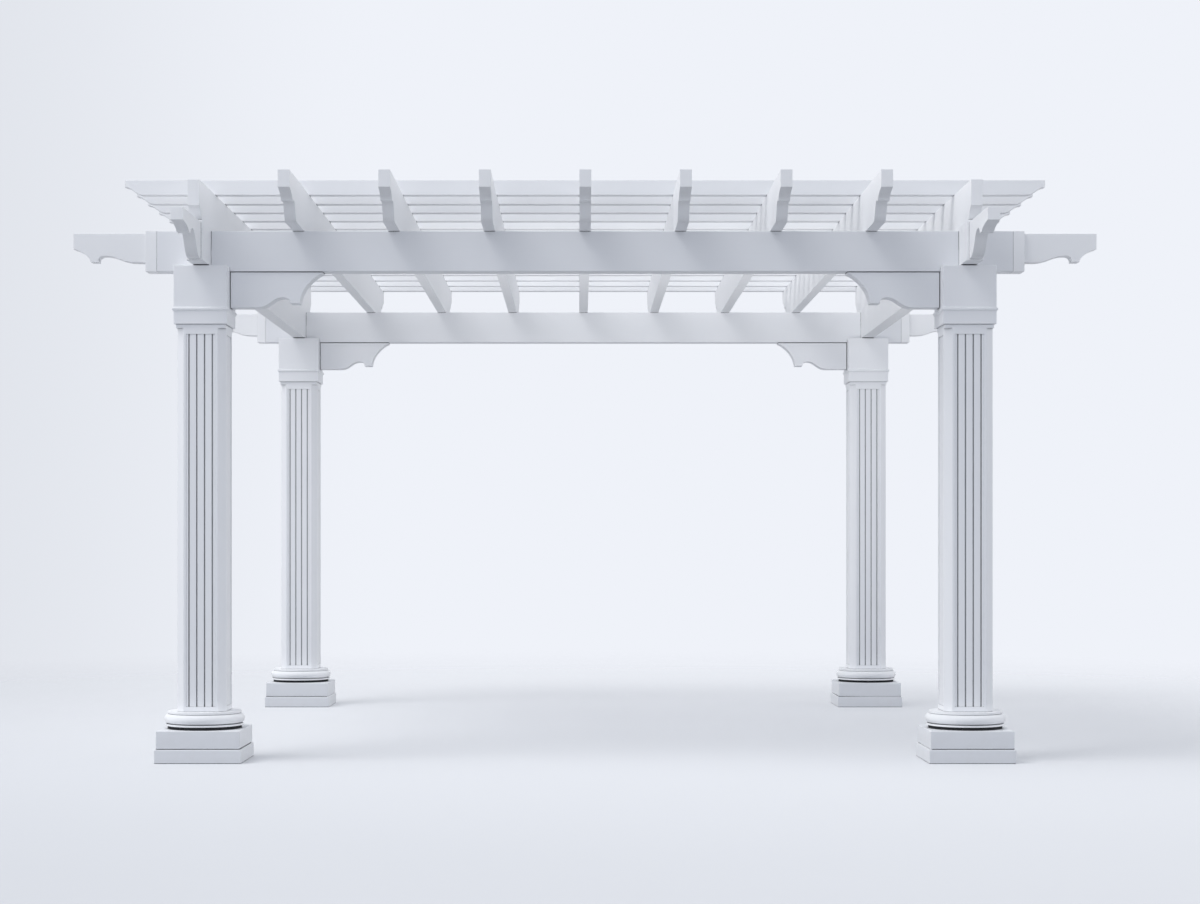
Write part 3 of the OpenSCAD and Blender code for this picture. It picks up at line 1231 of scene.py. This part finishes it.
@dataclass(frozen=True)
class Studio:
    """The pale floor, the backdrop, the lamps and the camera.

    Attributes:
        floor_half: Half the floor's side.
        floor_lit: The floor's paper where the painted pool of light is brightest.
        floor_dim: The paper far from there, darker as the painted light falls off.
        floor_bounce: How the paper colours the light that it throws up.
        floor_roughness: The paper's roughness.
        floor_gloss: Its specular level.
        mottle: The pattern of the paper's unevenness.
        mottle_share: How much the pattern dulls the paper.
        glow: The centre of the pool of light painted on the paper.
        light_falloff: How the painted light falls off with the distance from there.
        middle: The point that the floor fades away from.
        fade: How it fades into the backdrop with the distance from there.
        edge_colour: The backdrop towards the left.
        back_colour: The backdrop elsewhere.
        edge: How the backdrop changes from left to right.
        sky_left: Light from the left.
        sky_right: Light from the right.
        sky_front: Light from in front.
        sky_back: Light from behind.
        sky_high: Light from above.
        from_left: How far round the light from the left reaches.
        from_right: The same for the light from the right.
        from_front: The same for the light from in front.
        from_above: The same for the light from above.
        lamps: The softboxes.
        eye: The camera's place.
        sight: How far it sees.
        lens: Its focal length in millimetres.
        shift: How far its frame is shifted, across and up.
    """

    floor_half: float = 90.0
    floor_lit: Colour = (0.855, 0.866, 0.888)
    floor_dim: Colour = (0.672, 0.686, 0.714)
    floor_bounce: Colour = (0.38, 0.39, 0.41)
    floor_roughness: float = 0.85
    floor_gloss: float = 0.15
    mottle: Pattern = Pattern(0.6, 2.0)
    mottle_share: float = 0.08
    glow: Point = (4.0, 2.0, 0.0)
    light_falloff: Band = Band((5.0, 10.5))
    middle: Point = (0.0, -1.5, 0.0)
    fade: Band = Band((1.5, 10.5))
    edge_colour: Colour = (0.750, 0.775, 0.830)
    back_colour: Colour = (0.863, 0.888, 0.947)
    edge: Band = Band((-0.30, -0.08), FALLING)
    sky_left: Colour = (1.92, 1.93, 1.96)
    sky_right: Colour = (1.68, 1.69, 1.71)
    sky_front: Colour = (0.65, 0.70, 0.81)
    sky_back: Colour = (0.70, 0.72, 0.76)
    sky_high: Colour = (0.50, 0.52, 0.56)
    from_left: Band = Band((-1.0, -0.5), FALLING)
    from_right: Band = Band((0.5, 1.0))
    from_front: Band = Band((-0.6, 0.1), FALLING)
    from_above: Band = Band((0.15, 0.9))
    lamps: tuple[Softbox, ...] = (
        Softbox("key", (-9.4, -6.2, 18.5), (10.0, 10.0), 1750.0),
        Softbox("inner_fill", (0.4, -1.5, 1.4), (2.8, 0.6), 10.5, (0.5, 1.7, 2.4), 1.75),
    )
    eye: Point = (-0.028, -11.864, 0.999)
    sight: float = 400.0
    lens: float = 64.8
    shift: tuple[float, float] = (0.0175, 0.0786)

    def build(self) -> None:
        """Sets up the whole studio."""
        for lamp in self.lamps:
            lamp.build()
        self.floor()
        self.sky()
        self.camera()
        bpy.context.scene.view_settings.view_transform = "Standard"

    def camera(self) -> None:
        """Sets up a level camera in front of the pergola."""
        data = bpy.data.cameras.new("camera")
        data.lens = self.lens
        data.shift_x, data.shift_y = self.shift
        data.clip_end = self.sight
        holder = put_in_scene("camera", data)
        holder.location = self.eye
        holder.rotation_euler = (math.pi / 2, 0.0, 0.0)
        bpy.context.scene.camera = holder

    def floor(self) -> None:
        """Lays a pale floor that keeps the shadows and fades into the backdrop far away."""
        half = self.floor_half
        corners = [(-half, -half, 0), (half, -half, 0), (half, half, 0), (-half, half, 0)]
        mesh = bpy.data.meshes.new("floor")
        mesh.from_pydata(corners, [], [(0, 1, 2, 3)])
        mesh.materials.append(self.paper())
        put_in_scene("floor", mesh)

    def paper(self) -> bpy.types.Material:
        """The floor's paper, with a pool of light painted on it round one point.

        Returns:
            The material.
        """
        surface = Surface("floor_paper")
        # Painted light: the paper is palest round one point and darker away from it.
        falloff = surface.spread(surface.distance(surface.place, self.glow), self.light_falloff)
        mottle = surface.math("MULTIPLY", surface.noise(surface.place, self.mottle), self.mottle_share)
        tone = surface.math("ADD", falloff, mottle)
        pale = surface.mix(tone, rgba(self.floor_lit), rgba(self.floor_dim))
        inputs = {
            "Base Color": surface.mix(surface.seen(), rgba(self.floor_bounce), pale),
            "Roughness": self.floor_roughness,
            "Specular IOR Level": self.floor_gloss,
        }
        away = surface.spread(surface.distance(surface.place, self.middle), self.fade)
        gone = surface.math("MULTIPLY", away, surface.seen())
        clear = surface.value("ShaderNodeBsdfTransparent")
        return surface.close(surface.mix_shaders(gone, surface.principled(inputs), clear))

    def sky(self) -> None:
        """Sets the soft light from all round, and the pale backdrop seen behind the pergola."""
        world = bpy.data.worlds.new("studio")
        bpy.context.scene.world = world
        world.use_nodes = True
        graph = Graph(world.node_tree)
        direction = graph.add("ShaderNodeTexCoord").outputs["Generated"]
        way = graph.add("ShaderNodeSeparateXYZ", {"Vector": direction}).outputs
        seen = graph.mix(graph.spread(way["X"], self.edge), rgba(self.back_colour), rgba(self.edge_colour))
        light = rgba(self.sky_back)
        for side, band, colour in (
            ("Y", self.from_front, self.sky_front),
            ("X", self.from_right, self.sky_right),
            ("X", self.from_left, self.sky_left),
            ("Z", self.from_above, self.sky_high),
        ):
            light = graph.mix(graph.spread(way[side], band), light, rgba(colour))
        glow = graph.value("ShaderNodeBackground", {"Color": light})
        backdrop = graph.value("ShaderNodeBackground", {"Color": seen})
        graph.add("ShaderNodeOutputWorld", {"Surface": graph.mix_shaders(graph.seen(), glow, backdrop)})


def main() -> None:
    """Builds the pergola from the ground up, then the studio."""
    logging.basicConfig(level=logging.INFO, format="%(name)s: %(message)s")
    shop = Workshop()
    for corner in Corner:
        Column(corner, shop).build()
    BeamRing(shop).build()
    Roof(shop).build()
    Studio().build()
    log.info("%d pieces", len(shop.pieces))


if __name__ == "__main__":
    main()
